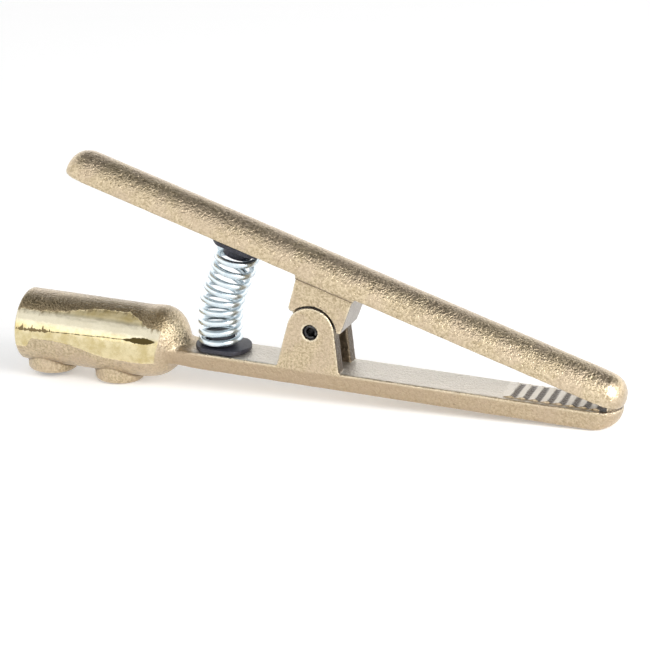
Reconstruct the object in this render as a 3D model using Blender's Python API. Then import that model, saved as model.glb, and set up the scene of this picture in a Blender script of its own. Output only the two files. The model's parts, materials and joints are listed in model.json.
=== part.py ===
"""Spring-loaded ground clamp for a welding cable.

Two brass castings pinch the workpiece. The lower jaw is a flat bar with a cable socket at one
end, teeth at the other and two pivot ears between them. The upper jaw is a half-round bar whose
lug turns on a slotted pin between the ears. A bowed compression spring on two insulators pushes
the handles apart, and two set screws in the bosses under the socket hold the cable.

The clamp is modelled in the lower jaw's own frame: X runs from the socket's mouth to the tip, Z
is up, and the bar's top face is Z = 0. The stance empty then tips that frame so that the clamp
stands on its front boss and its tip, with the middle of its bounding box's bottom at the origin.
"""

import math

import bmesh
import bpy
from mathutils import Matrix, Vector

# General
CLAMP_LENGTH = 0.205          # socket mouth to lower tip
GAP = 0.0003                  # clearance between pieces that touch
ROUND_SEGMENTS = 48           # facets round the socket
SMALL_SEGMENTS = 32           # facets round bosses, pin and collars
SMOOTH_ANGLE = math.radians(35)

# Lower jaw bar
BAR_WIDTH = 0.0165
BAR_THICKNESS = 0.0058
TIP_EXTRA = 0.0006             # the bar is this much thicker at its tip
BAR_START = 0.052             # the bar's buried end, inside the socket's dome
BAR_TOP_ROUND = 0.0005
BAR_BOTTOM_ROUND = 0.0014
TIP_RAKE = 0.0050              # the tip draws back towards its bottom
HALF_WIDTH = BAR_WIDTH / 2

# Cable socket
SOCKET_RADIUS = 0.01206
SOCKET_LENGTH = 0.0440        # straight part, before the dome
DOME_LENGTH = 0.0154
DOME_POWER = 3.3              # a higher power gives a blunter dome
DOME_RISE = 0.0022            # the dome leans up towards the bar by this much
SOCKET_AXIS_Z = -0.0011
BORE_RADIUS = 0.0082
BORE_DEPTH = 0.045
MOUTH_CHAMFER = 0.0003
BORE_POINT = 0.003            # cone at the bore's blind end

# Threaded bosses and set screws
BOSS_RADIUS = 0.00825
BOSS_BOTTOM_Z = -0.0154
BOSS_X = {"rear": 0.0083, "front": 0.0331}
BOSS_ROUND = 0.0009
SCREW_RADIUS = 0.0045
SCREW_LENGTH = 0.00635
SCREW_RECESS = 0.0003
SCREW_CHAMFER = 0.0006
HEX_ACROSS_FLATS = 0.0048
HEX_DEPTH = 0.0034

# Pivot
PIVOT_X = 0.10365
PIVOT_Z = 0.0127
EAR_TOP_RADIUS = 0.0081
EAR_BASE_BACK = 0.0920        # at the ears' buried root
EAR_BASE_FRONT = 0.1139
EAR_GAP = 0.0070
EAR_INSET = 0.00005           # the ears' outer faces lie this far inside the bar's sides
EAR_ROOT = 0.0016             # depth to which the ears run into the bar
PIN_RADIUS = 0.0024
PIN_BORE_RADIUS = 0.0015
PIN_SLOT = 0.0008
PIN_SLOT_ANGLE = math.radians(-40)
PIN_RECESS = 0.0006           # the pin's ends lie this far inside the ears
PIN_HOLE_RADIUS = PIN_RADIUS + 0.0002

# Upper jaw, in its own frame: origin on the pivot, X towards the tip, Z away from the lower jaw
JAW_ANGLE = math.radians(16.087)
UPPER_FLAT_Z = 0.01644        # flat underside, above the pivot
UPPER_RADIUS = 0.0082
UPPER_BACK_X = -0.0963
UPPER_TIP_X = 0.1009
END_POWER = 2.5               # a higher power gives blunter ends than a quarter-ball
BLOCK_BACK_TOP = -0.0100
BLOCK_BACK_BOTTOM = -0.0095
BLOCK_FRONT_TOP = 0.0103
BLOCK_FRONT_BOTTOM = 0.0096
BLOCK_BACK_Z = 0.0041
BLOCK_FRONT_Z = 0.0033
BLOCK_CORNER = 0.0012
BLOCK_HALF_WIDTH = 0.0079
SHOULDER_HALF_WIDTH = 0.00815 # a shallow full-width step between block and bar
SHOULDER_DEPTH = 0.0011
SHOULDER_ROOT = 0.0005
SHOULDER_OVERHANG = 0.0003
BLOCK_EDGE_ROUND = 0.0008
RELIEF_RADIUS = 0.00865       # the block's hollow over the ears
LUG_RADIUS = 0.0062
LUG_BACK_X = -0.0092           # the lug tapers down from the block's back corner
LUG_BACK_Z = 0.0024
LUG_WIDTH = EAR_GAP - 2 * GAP

# Teeth
TOOTH_PITCH = 0.00393
TOOTH_COUNT = 8
FIRST_CREST_X = 0.1698
TOOTH_HEIGHT = 0.0007
TOOTH_FALL = 0.0012           # from a crest to the valley in front of it
TOOTH_VALLEY = 0.00005        # height of the valleys above the jaw's face
TOOTH_ROOT = 0.0003
TOOTH_HALF_WIDTH = 0.0063
TOOTH_SKEW = -0.10            # the rows lean back by this much of their length
TIP_PAD_START = 0.2010

# Insulators and spring
SEAT_DISTANCE = 0.03295       # pivot to seat, measured along each jaw
INSULATOR_RADIUS = 0.0092
INSULATOR_HALF_WIDTH = 0.0076
INSULATOR_THICKNESS = 0.0014
LOWER_COLLAR_X = -0.0012       # the lower collar and peg stand this far behind the seat
COLLAR_RADIUS = 0.0048
COLLAR_HEIGHT = 0.0052        # measured from the jaw's face
PEG_RADIUS = 0.0024
PEG_HEIGHT = 0.0040
PEG_ROOT = 0.0010
WIRE_RADIUS = 0.0011
SPRING_RADIUS = 0.0062        # coil axis to wire centre
SPRING_BOW = 0.0015           # how far the middle of the spring bulges backwards
SPRING_TURNS = 9.0
TOP_SLACK = 0.0015            # the last coil's centre hangs this far off its insulator
TOP_LEAN = 0.58               # the last coil leans by this share of the jaw's angle
CLOSED_TURNS = 0.6            # over these turns at each end the pitch grows to its full size
CLOSED_PITCH_SHARE = 0.1      # pitch at the wire's very end, as a share of the open one
STEPS_PER_TURN = 16
WIRE_SIDES = 8

# Colour, roughness, metallic
LOOKS = {
    "cast_brass": ((0.56, 0.45, 0.28, 1), 0.48, 0.9),
    "zinc_steel": ((0.78, 0.80, 0.82, 1), 0.25, 1.0),
    "pin_steel": ((0.42, 0.42, 0.44, 1), 0.35, 1.0),
    "black_oxide": ((0.05, 0.05, 0.055, 1), 0.45, 0.8),
    "insulator": ((0.035, 0.036, 0.042, 1), 0.6, 0.0),
}


# ---- plain helpers ---------------------------------------------------------------------

def material(name):
    """The named look as a Principled material, made once."""
    found = bpy.data.materials.get(name)
    if found:
        return found
    made = bpy.data.materials.new(name)
    made.use_nodes = True
    shader = made.node_tree.nodes["Principled BSDF"]
    color, roughness, metallic = LOOKS[name]
    shader.inputs["Base Color"].default_value = color
    shader.inputs["Roughness"].default_value = roughness
    shader.inputs["Metallic"].default_value = metallic
    made.diffuse_color = color
    return made


def add_empty(name, parent=None, location=(0, 0, 0), tilt=0.0):
    """An empty that tips what it carries nose-down by tilt, about the Y axis."""
    empty = bpy.data.objects.new(name, None)
    empty.empty_display_size = 0.01
    empty.parent = parent
    empty.location = location
    empty.rotation_euler = (0, tilt, 0)
    bpy.context.scene.collection.objects.link(empty)
    return empty


def add_object(name, bm, parent, look=None, location=(0, 0, 0)):
    """Turns a bmesh into a named object with outward normals."""
    bmesh.ops.recalc_face_normals(bm, faces=bm.faces[:])
    mesh = bpy.data.meshes.new(name)
    bm.to_mesh(mesh)
    bm.free()
    made = bpy.data.objects.new(name, mesh)
    made.parent = parent
    made.location = location
    bpy.context.scene.collection.objects.link(made)
    if look:
        mesh.materials.append(material(look))
        mesh.shade_smooth()
        mesh.set_sharp_from_angle(angle=SMOOTH_ANGLE)
    return made


def combine(target, label, operation, solids):
    """Joins named solids to the target, or cuts them away, in one live Boolean."""
    group = bpy.data.collections.new(f"{target.name}_{label}")
    bpy.context.scene.collection.children.link(group)
    for name, bm in solids.items():
        tool = add_object(f"{target.name}_{name}", bm, target)
        tool.hide_render = True
        tool.display_type = "WIRE"
        group.objects.link(tool)
        bpy.context.scene.collection.objects.unlink(tool)
    modifier = target.modifiers.new(label, "BOOLEAN")
    modifier.operation = operation
    modifier.solver = "EXACT"
    modifier.operand_type = "COLLECTION"
    modifier.collection = group


def side_view(x, z, y):
    """Places an outline drawn in X and Z, at width y."""
    return Vector((x, y, z))


def plan_view(x, y, z):
    """Places an outline drawn in X and Y, at height z."""
    return Vector((x, y, z))


def prism(outline, low, high, place):
    """A closed solid between two copies of an outline."""
    bm = bmesh.new()
    near = [bm.verts.new(place(a, b, low)) for a, b in outline]
    far = [bm.verts.new(place(a, b, high)) for a, b in outline]
    bm.faces.new(near)
    bm.faces.new(far)
    for i in range(len(outline)):
        j = (i + 1) % len(outline)
        bm.faces.new((near[i], near[j], far[j], far[i]))
    return bm


def merge(first, second):
    """Adds the second bmesh's separate solid to the first."""
    carrier = bpy.data.meshes.new("carrier")
    second.to_mesh(carrier)
    second.free()
    first.from_mesh(carrier)
    bpy.data.meshes.remove(carrier)
    return first


def lathe(profile, segments, axis="Z"):
    """Turns a profile of (radius, height) points, both ends on the axis, about Z or X."""
    bm = bmesh.new()
    rings = []
    for radius, height in profile:
        count = segments if radius > 0 else 1
        angles = [2 * math.pi * (k + 0.5) / segments for k in range(count)]
        rings.append([bm.verts.new((radius * math.cos(a), radius * math.sin(a), height))
                      for a in angles])
    for lower, upper in zip(rings, rings[1:]):
        for k in range(segments):
            j = (k + 1) % segments
            corners = [lower[k % len(lower)], lower[j % len(lower)],
                       upper[j % len(upper)], upper[k % len(upper)]]
            bm.faces.new(list(dict.fromkeys(corners)))
    if axis == "X":
        bm.transform(Matrix.Rotation(math.pi / 2, 4, "Y"))
    return bm


def shifted(bm, x=0.0, y=0.0, z=0.0):
    """Moves a bmesh."""
    bm.transform(Matrix.Translation((x, y, z)))
    return bm


def arc(centre, radius, start, end, steps):
    """Points on an arc, both ends included, angles in radians."""
    turns = [start + (end - start) * k / steps for k in range(steps + 1)]
    return [(centre[0] + radius * math.cos(a), centre[1] + radius * math.sin(a)) for a in turns]


def cylinder(radius, low, high):
    """A plain round solid between two heights on its axis."""
    return lathe([(0, low), (radius, low), (radius, high), (0, high)], SMALL_SEGMENTS)


def rounded_foot(radius, low, high, edge):
    """A round solid whose lower rim is rounded."""
    rim = [(radius - edge + edge * math.sin(a), low + edge - edge * math.cos(a))
           for a in (0, math.pi / 6, math.pi / 3, math.pi / 2)]
    return lathe([(0, low)] + rim + [(radius, high), (0, high)], SMALL_SEGMENTS)


def round_edges(bm, chosen, width, segments):
    """Rounds the edges for which chosen(edge) is true."""
    edges = [e for e in bm.edges if chosen(e)]
    bmesh.ops.bevel(bm, geom=edges, offset=width, segments=segments, profile=0.5,
                    affect="EDGES", clamp_overlap=True)
    return bm


# ---- lower jaw -------------------------------------------------------------------------

def bar_ring(z, inset):
    """The bar's outline at one height; its half-round tip draws back and thickens with depth."""
    depth = -z / BAR_THICKNESS
    half = HALF_WIDTH - inset
    reach = half - TIP_RAKE * (1 - math.sqrt(1 - (0.95 * depth) ** 2))
    centre = CLAMP_LENGTH - HALF_WIDTH
    outline = [(BAR_START, half), (BAR_START, -half)]
    for k in range(17):
        a = math.pi * (k / 16 - 0.5)
        outline.append((centre + reach * math.cos(a), half * math.sin(a)))
    slope = TIP_EXTRA * depth / (CLAMP_LENGTH - BAR_START)
    return [(x, y, z - slope * (x - BAR_START)) for x, y in outline]


def rounded_insets(width, steps):
    """Depth and inset pairs down a rounded edge, from its flat face."""
    turns = [math.pi / 2 * k / steps for k in range(steps + 1)]
    return [(width * (1 - math.cos(a)), width * (1 - math.sin(a))) for a in turns]


def bar_body():
    """The flat bar with its half-round tip, thickening slightly towards it."""
    levels = [(-depth, inset) for depth, inset in rounded_insets(BAR_TOP_ROUND, 2)]
    levels += [(-BAR_THICKNESS * share, 0) for share in (0.3, 0.5, 0.65)]
    bottom = rounded_insets(BAR_BOTTOM_ROUND, 3)
    levels += [(depth - BAR_THICKNESS, inset) for depth, inset in reversed(bottom)]
    bm = bmesh.new()
    rings = [[bm.verts.new(point) for point in bar_ring(z, inset)] for z, inset in levels]
    for upper, lower in zip(rings, rings[1:]):
        for k in range(len(upper)):
            j = (k + 1) % len(upper)
            bm.faces.new((upper[k], upper[j], lower[j], lower[k]))
    bm.faces.new(rings[0])
    bm.faces.new(rings[-1])
    return bm


def socket_body():
    """The socket's outside: a straight barrel and a leaning dome, turned about X."""
    profile = [(0, 0), (SOCKET_RADIUS - MOUTH_CHAMFER, 0), (SOCKET_RADIUS, MOUTH_CHAMFER)]
    steps = 9
    for k in range(steps):
        share = math.sin(math.pi / 2 * k / steps)
        radius = SOCKET_RADIUS * (1 - share ** DOME_POWER)
        profile.append((radius, SOCKET_LENGTH + DOME_LENGTH * share))
    profile.append((0, SOCKET_LENGTH + DOME_LENGTH))
    body = lathe(profile, ROUND_SEGMENTS, "X")
    for vertex in body.verts:
        share = max(0, vertex.co.x - SOCKET_LENGTH) / DOME_LENGTH
        vertex.co.z += DOME_RISE * share
    return shifted(body, z=SOCKET_AXIS_Z)


def socket_bore():
    """The blind bore for the cable, chamfered at its mouth."""
    profile = [(0, -MOUTH_CHAMFER), (BORE_RADIUS + 2 * MOUTH_CHAMFER, -MOUTH_CHAMFER),
               (BORE_RADIUS, MOUTH_CHAMFER), (BORE_RADIUS, BORE_DEPTH - BORE_POINT),
               (0, BORE_DEPTH)]
    return shifted(lathe(profile, ROUND_SEGMENTS, "X"), z=SOCKET_AXIS_Z)


def boss(x):
    """A round boss under the socket, with a rounded lower rim."""
    foot = rounded_foot(BOSS_RADIUS, BOSS_BOTTOM_Z, SOCKET_AXIS_Z - 0.002, BOSS_ROUND)
    return shifted(foot, x=x)


def screw_hole(x):
    """The hole through a boss into the bore, countersunk below."""
    radius = SCREW_RADIUS + GAP
    low = BOSS_BOTTOM_Z - SCREW_CHAMFER
    profile = [(0, low), (radius + 2 * SCREW_CHAMFER, low),
               (radius, BOSS_BOTTOM_Z + SCREW_CHAMFER), (radius, SOCKET_AXIS_Z),
               (0, SOCKET_AXIS_Z)]
    return shifted(lathe(profile, SMALL_SEGMENTS), x=x)


def tangent_angle(corner, radius, side):
    """Where the line from a corner touches a circle about the origin; side is +1 or -1."""
    distance = math.hypot(*corner)
    return math.atan2(corner[1], corner[0]) + side * math.acos(radius / distance)


def ear_outline():
    """The tapered ear with its round top, seen from the side."""
    back = (EAR_BASE_BACK - PIVOT_X, -EAR_ROOT - PIVOT_Z)
    front = (EAR_BASE_FRONT - PIVOT_X, -EAR_ROOT - PIVOT_Z)
    start = tangent_angle(front, EAR_TOP_RADIUS, 1)
    end = tangent_angle(back, EAR_TOP_RADIUS, -1) + 2 * math.pi
    top = arc((PIVOT_X, PIVOT_Z), EAR_TOP_RADIUS, start, end, 16)
    return [(EAR_BASE_BACK, -EAR_ROOT), (EAR_BASE_FRONT, -EAR_ROOT)] + top


def ears():
    """Both pivot ears."""
    outer = HALF_WIDTH - EAR_INSET
    near = prism(ear_outline(), -outer, -EAR_GAP / 2, side_view)
    return merge(near, prism(ear_outline(), EAR_GAP / 2, outer, side_view))


def teeth(base, up, first, count):
    """A row of saw teeth across the jaw; up is +1 above the face and -1 below it."""
    last = first + (count - 1) * TOOTH_PITCH
    rise = TOOTH_PITCH - TOOTH_FALL
    outline = [(last + TOOTH_FALL, base - up * TOOTH_ROOT), (first - rise, base - up * TOOTH_ROOT)]
    for k in range(count):
        crest = first + k * TOOTH_PITCH
        outline.append((crest - rise, base + up * TOOTH_VALLEY))
        outline.append((crest, base + up * TOOTH_HEIGHT))
    outline.append((last + TOOTH_FALL, base + up * TOOTH_VALLEY))
    bm = prism(outline, -TOOTH_HALF_WIDTH, TOOTH_HALF_WIDTH, side_view)
    for vertex in bm.verts:
        vertex.co.x += TOOTH_SKEW * vertex.co.y
    return bm


def underside_height(x):
    """Height of the closed upper jaw's flat underside above the lower jaw's face."""
    sine, cosine = math.sin(JAW_ANGLE), math.cos(JAW_ANGLE)
    return PIVOT_Z + (UPPER_FLAT_Z - (x - PIVOT_X) * sine) / cosine


def tip_pad():
    """The raised land at the tip, sloped to lie under the closed upper jaw."""
    radius = HALF_WIDTH - BAR_TOP_ROUND - 0.0002
    centre = (CLAMP_LENGTH - HALF_WIDTH, 0)
    reach = math.acos((TIP_PAD_START - centre[0]) / radius)
    outline = arc(centre, radius, -reach, reach, 12)
    bm = prism(outline, -TOOTH_ROOT, TOOTH_HEIGHT, plan_view)
    for vertex in bm.verts:
        if vertex.co.z > 0:
            vertex.co.z = underside_height(vertex.co.x) - GAP
    return bm


def pin_hole(x=0.0, z=0.0):
    """The hole for the pin, through the whole width."""
    hole = cylinder(PIN_HOLE_RADIUS, -BAR_WIDTH, BAR_WIDTH)
    hole.transform(Matrix.Rotation(math.pi / 2, 4, "X"))
    return shifted(hole, x=x, z=z)


def build_lower_jaw(stance):
    """The lower casting, from its bar outwards."""
    jaw = add_object("lower_jaw", bar_body(), stance, "cast_brass")
    peg = cylinder(PEG_RADIUS, -PEG_ROOT, PEG_HEIGHT)
    combine(jaw, "cast_on", "UNION", {
        "socket": socket_body(),
        "rear_boss": boss(BOSS_X["rear"]),
        "front_boss": boss(BOSS_X["front"]),
        "ears": ears(),
        "teeth": teeth(0, 1, FIRST_CREST_X, TOOTH_COUNT),
        "tip_pad": tip_pad(),
        "peg": shifted(peg, x=PIVOT_X - SEAT_DISTANCE + LOWER_COLLAR_X),
    })
    combine(jaw, "machined", "DIFFERENCE", {
        "bore": socket_bore(),
        "rear_hole": screw_hole(BOSS_X["rear"]),
        "front_hole": screw_hole(BOSS_X["front"]),
        "pin_hole": pin_hole(PIVOT_X, PIVOT_Z),
    })
    return jaw


# ---- upper jaw, in its own frame -------------------------------------------------------

def half_round_bar():
    """The half-round bar with a blunt, rounded end each way, flat side down."""
    sides, dome = 20, 8
    ball = []
    for k in range(dome + 1):
        a = math.pi / 2 * k / dome
        ball.append((UPPER_RADIUS * (1 - math.cos(a) ** (2 / END_POWER)),
                     UPPER_RADIUS * math.sin(a) ** (2 / END_POWER)))
    stations = [(UPPER_BACK_X + inset, radius) for inset, radius in ball]
    stations += [(UPPER_TIP_X - inset, radius) for inset, radius in reversed(ball)]
    bm = bmesh.new()
    rings = []
    for x, radius in stations:
        count = sides + 1 if radius > 1e-9 else 1
        angles = [math.pi * k / sides for k in range(count)]
        rings.append([bm.verts.new((x, radius * math.cos(a), UPPER_FLAT_Z + radius * math.sin(a)))
                      for a in angles])
    for one, two in zip(rings, rings[1:]):
        for k in range(sides):
            corners = [one[min(k, len(one) - 1)], one[min(k + 1, len(one) - 1)],
                       two[min(k + 1, len(two) - 1)], two[min(k, len(two) - 1)]]
            bm.faces.new(list(dict.fromkeys(corners)))
        bm.faces.new(list(dict.fromkeys([one[0], one[-1], two[-1], two[0]])))
    return bm


def block_outline():
    """The pivot block from the side: an arch over the ears with two short legs."""
    top = UPPER_FLAT_Z + 0.002
    back_angle = math.pi - math.asin(BLOCK_BACK_Z / RELIEF_RADIUS)
    front_angle = math.asin(BLOCK_FRONT_Z / RELIEF_RADIUS)
    back_corner = (BLOCK_BACK_BOTTOM + BLOCK_CORNER, BLOCK_BACK_Z + BLOCK_CORNER)
    front_corner = (BLOCK_FRONT_BOTTOM - BLOCK_CORNER / 2, BLOCK_FRONT_Z + BLOCK_CORNER / 2)
    return ([(BLOCK_FRONT_TOP, top), (BLOCK_BACK_TOP, top)]
            + arc(back_corner, BLOCK_CORNER, math.pi, 1.5 * math.pi, 4)
            + arc((0, 0), RELIEF_RADIUS, back_angle, front_angle, 18)
            + arc(front_corner, BLOCK_CORNER / 2, -math.pi / 2, 0, 3))


def block():
    """The pivot block across the full width, its upright edges rounded."""
    bm = prism(block_outline(), -BLOCK_HALF_WIDTH, BLOCK_HALF_WIDTH, side_view)

    def outer_side(edge):
        a, b = (v.co for v in edge.verts)
        across = abs(a.y - b.y) < 1e-7
        return across and min(a.z, b.z) < UPPER_FLAT_Z < max(a.z, b.z)
    return round_edges(bm, outer_side, BLOCK_EDGE_ROUND, 2)


def shoulder():
    """The shallow step, as wide as the bar, that the block hangs from."""
    outline = [(BLOCK_BACK_TOP - SHOULDER_OVERHANG, UPPER_FLAT_Z - SHOULDER_DEPTH),
               (BLOCK_FRONT_TOP + SHOULDER_OVERHANG, UPPER_FLAT_Z - SHOULDER_DEPTH),
               (BLOCK_FRONT_TOP + SHOULDER_OVERHANG, UPPER_FLAT_Z + SHOULDER_ROOT),
               (BLOCK_BACK_TOP - SHOULDER_OVERHANG, UPPER_FLAT_Z + SHOULDER_ROOT)]
    return prism(outline, -SHOULDER_HALF_WIDTH, SHOULDER_HALF_WIDTH, side_view)


def lug():
    """The middle lug that hangs between the ears and turns on the pin."""
    top = RELIEF_RADIUS + 0.002
    reach = math.hypot(LUG_BACK_X, LUG_BACK_Z)
    touch = math.atan2(LUG_BACK_Z, LUG_BACK_X) + math.acos(LUG_RADIUS / reach)
    outline = [(LUG_RADIUS, top), (LUG_BACK_X, top), (LUG_BACK_X, LUG_BACK_Z)]
    outline += arc((0, 0), LUG_RADIUS, touch, 2 * math.pi, 16)
    return prism(outline, -LUG_WIDTH / 2, LUG_WIDTH / 2, side_view)


def build_upper_jaw(pivot):
    """The upper casting: bar, block, lug, seat peg and teeth."""
    jaw = add_object("upper_jaw", half_round_bar(), pivot, "cast_brass")
    peg = cylinder(PEG_RADIUS, UPPER_FLAT_Z - PEG_HEIGHT, UPPER_FLAT_Z + PEG_ROOT)
    facing = FIRST_CREST_X + TOOTH_PITCH / 2 - PIVOT_X
    first_crest = facing / math.cos(JAW_ANGLE) - UPPER_FLAT_Z * math.tan(JAW_ANGLE)
    combine(jaw, "cast_on", "UNION", {
        "block": block(),
        "shoulder": shoulder(),
        "lug": lug(),
        "peg": shifted(peg, x=-SEAT_DISTANCE),
        "teeth": teeth(UPPER_FLAT_Z, -1, first_crest, TOOTH_COUNT),
    })
    combine(jaw, "machined", "DIFFERENCE", {"pin_hole": pin_hole()})
    return jaw


# ---- small pieces ----------------------------------------------------------------------

def build_pivot_pin(stance):
    """A slotted spring pin: a rolled tube with a gap along it."""
    half_gap = PIN_SLOT / 2
    outer_gap = math.asin(half_gap / PIN_RADIUS)
    inner_gap = math.asin(half_gap / PIN_BORE_RADIUS)
    start, turn = PIN_SLOT_ANGLE, 2 * math.pi
    outline = arc((0, 0), PIN_RADIUS, start + outer_gap, start + turn - outer_gap, 28)
    outline += arc((0, 0), PIN_BORE_RADIUS, start + turn - inner_gap, start + inner_gap, 20)
    half_length = HALF_WIDTH - EAR_INSET - PIN_RECESS
    bm = prism(outline, -half_length, half_length, side_view)
    return add_object("pivot_pin", bm, stance, "pin_steel", (PIVOT_X, 0, PIVOT_Z))


def build_set_screw(side, stance):
    """A headless hex-socket screw; its origin is its outer end, on the boss's axis."""
    r, c, length = SCREW_RADIUS, SCREW_CHAMFER, SCREW_LENGTH
    profile = [(0, 0), (r - c, 0), (r, c), (r, length - c), (r - c, length), (0, length)]
    place = (BOSS_X[side], 0, BOSS_BOTTOM_Z + SCREW_RECESS)
    screw = add_object(f"set_screw_{side}", lathe(profile, SMALL_SEGMENTS), stance,
                       "black_oxide", place)
    hexagon = arc((0, 0), HEX_ACROSS_FLATS / math.sqrt(3), 0, 5 * math.pi / 3, 5)
    combine(screw, "drive", "DIFFERENCE", {"hex": prism(hexagon, -c, HEX_DEPTH, plan_view)})
    return screw


def disc_with_flats(radius, half_width, steps=12):
    """A round outline trimmed to the jaw's width."""
    reach = math.asin(half_width / radius)
    return (arc((0, 0), radius, -reach, reach, steps)
            + arc((0, 0), radius, math.pi - reach, math.pi + reach, steps))


def build_insulator(name, parent, location, up, collar_x=0.0):
    """A top-hat insulator over the jaw's peg: a flange and a collar inside the spring."""
    base, flange = sorted((0, up * INSULATOR_THICKNESS))
    outline = disc_with_flats(INSULATOR_RADIUS, INSULATOR_HALF_WIDTH)
    hat = add_object(name, prism(outline, base, flange, plan_view), parent, "insulator", location)
    low, high = sorted((up * INSULATOR_THICKNESS / 2, up * (COLLAR_HEIGHT - GAP)))
    collar = cylinder(COLLAR_RADIUS, low, high)
    combine(hat, "raised", "UNION", {"collar": shifted(collar, x=collar_x)})
    hole = cylinder(PEG_RADIUS + GAP, -2 * COLLAR_HEIGHT, 2 * COLLAR_HEIGHT)
    combine(hat, "bored", "DIFFERENCE", {"hole": shifted(hole, x=collar_x)})
    return hat


# ---- spring ----------------------------------------------------------------------------

def bow_point(share, ends):
    """A point on the spring's curved axis, and the axis's direction there."""
    (p0, d0), (p1, d1) = ends
    reach = (p1 - p0).length / 3
    a, b, c, d = p0, p0 + d0 * reach, p1 - d1 * reach, p1
    u, v = share, 1 - share
    point = a * v ** 3 + b * 3 * u * v * v + c * 3 * u * u * v + d * u ** 3
    slope = (b - a) * 3 * v * v + (c - b) * 6 * u * v + (d - c) * 3 * u * u
    point.x -= SPRING_BOW * math.sin(math.pi * u) ** 2
    slope.x -= SPRING_BOW * math.pi * math.sin(2 * math.pi * u)
    return point, slope.normalized()


def spring_ends():
    """Centres and directions of the first and last coil, off their insulators."""
    lift = INSULATOR_THICKNESS + 2 * GAP + WIRE_RADIUS
    low = Vector((PIVOT_X - SEAT_DISTANCE + LOWER_COLLAR_X, 0, lift))
    tilt = Matrix.Rotation(JAW_ANGLE, 4, "Y")
    seat = tilt @ Vector((-SEAT_DISTANCE, 0, UPPER_FLAT_Z - lift - TOP_SLACK))
    high = Vector((PIVOT_X, 0, PIVOT_Z)) + seat
    along = Matrix.Rotation(JAW_ANGLE * TOP_LEAN, 4, "Y") @ Vector((0, 0, 1))
    return (low, Vector((0, 0, 1))), (high, along)


def coil_heights():
    """Share of the axis reached at each step along the wire; the coils close at both ends."""
    steps = round(SPRING_TURNS * STEPS_PER_TURN)
    pitches = []
    for k in range(steps):
        turn = (k + 0.5) / STEPS_PER_TURN
        inner = min(turn, SPRING_TURNS - turn)
        ease = min(1, inner / CLOSED_TURNS)
        pitches.append(CLOSED_PITCH_SHARE + (1 - CLOSED_PITCH_SHARE) * ease)
    heights = [0.0]
    for pitch in pitches:
        heights.append(heights[-1] + pitch / sum(pitches))
    return heights


def wire_path():
    """Centre line of the spring's wire."""
    ends = spring_ends()
    across = Vector((0, 1, 0))
    path = []
    for k, share in enumerate(coil_heights()):
        centre, along = bow_point(share, ends)
        outward = across.cross(along)
        angle = math.pi + 2 * math.pi * k / STEPS_PER_TURN
        path.append(centre + SPRING_RADIUS * (outward * math.cos(angle) + across * math.sin(angle)))
    return path


def build_spring(stance):
    """The compression spring: round wire swept along the bowed coil."""
    path = wire_path()
    bm = bmesh.new()
    rings = []
    for k, point in enumerate(path):
        along = (path[min(k + 1, len(path) - 1)] - path[max(k - 1, 0)]).normalized()
        first = along.cross(Vector((0, 0, 1))).normalized()
        second = along.cross(first)
        turns = [2 * math.pi * j / WIRE_SIDES for j in range(WIRE_SIDES)]
        rings.append([bm.verts.new(point + WIRE_RADIUS * (first * math.cos(a) + second * math.sin(a)))
                      for a in turns])
    for one, two in zip(rings, rings[1:]):
        for j in range(WIRE_SIDES):
            i = (j + 1) % WIRE_SIDES
            bm.faces.new((one[j], one[i], two[i], two[j]))
    bm.faces.new(rings[0])
    bm.faces.new(rings[-1])
    return add_object("spring", bm, stance, "zinc_steel")


# ---- assembly --------------------------------------------------------------------------

def stance_tilt():
    """Nose-down angle at which the front boss's rim and the tip's lower edge share a floor."""
    boss_x = BOSS_X["front"] + BOSS_RADIUS - BOSS_ROUND
    tip_x, _, tip_z = max(bar_ring(-BAR_THICKNESS, BAR_BOTTOM_ROUND))
    return math.atan2(tip_z - BOSS_BOTTOM_Z, tip_x - boss_x)


def world_box(objects):
    """Lowest and highest corner of the evaluated solids."""
    bpy.context.view_layer.update()
    graph = bpy.context.evaluated_depsgraph_get()
    points = []
    for one in objects:
        solid = one.evaluated_get(graph)
        points += [solid.matrix_world @ v.co for v in solid.data.vertices]
    low = [min(p[i] for p in points) for i in range(3)]
    high = [max(p[i] for p in points) for i in range(3)]
    return low, high


def stand(stance, solids):
    """Puts the middle of the bounding box's bottom at the world's origin."""
    low, high = world_box(solids)
    stance.location = (-(low[0] + high[0]) / 2, -(low[1] + high[1]) / 2, -low[2])
    bpy.context.view_layer.update()


def build():
    """Clears the scene and builds the clamp."""
    for old in list(bpy.data.objects):
        bpy.data.objects.remove(old, do_unlink=True)
    stance = add_empty("stance", tilt=stance_tilt())
    pivot = add_empty("jaw_pivot_axis", stance, (PIVOT_X, 0, PIVOT_Z), JAW_ANGLE)
    solids = [
        build_lower_jaw(stance),
        build_upper_jaw(pivot),
        build_pivot_pin(stance),
        build_spring(stance),
        build_insulator("lower_insulator", stance, (PIVOT_X - SEAT_DISTANCE, 0, GAP), 1,
                        LOWER_COLLAR_X),
        build_insulator("upper_insulator", pivot, (-SEAT_DISTANCE, 0, UPPER_FLAT_Z - GAP), -1),
    ]
    solids += [build_set_screw(side, stance) for side in BOSS_X]
    stand(stance, solids)


build()
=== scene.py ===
"""Looks of the ground clamp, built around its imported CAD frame.

The two castings become fine meshes with cast fillets and a sand-cast skin, and the spring, the
insulators, the pivot pin and the set screws are built again in finer detail. Shapes are worked
out in millimetres, in one of two frames: the lower jaw's, where X runs from the socket's mouth to
the tip and Z = 0 is the bar's top face, and the upper jaw's, whose origin is on the pivot.
"""

import json
import math

import bmesh
import bpy
import numpy as np
from mathutils import Matrix, Vector, noise


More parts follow.
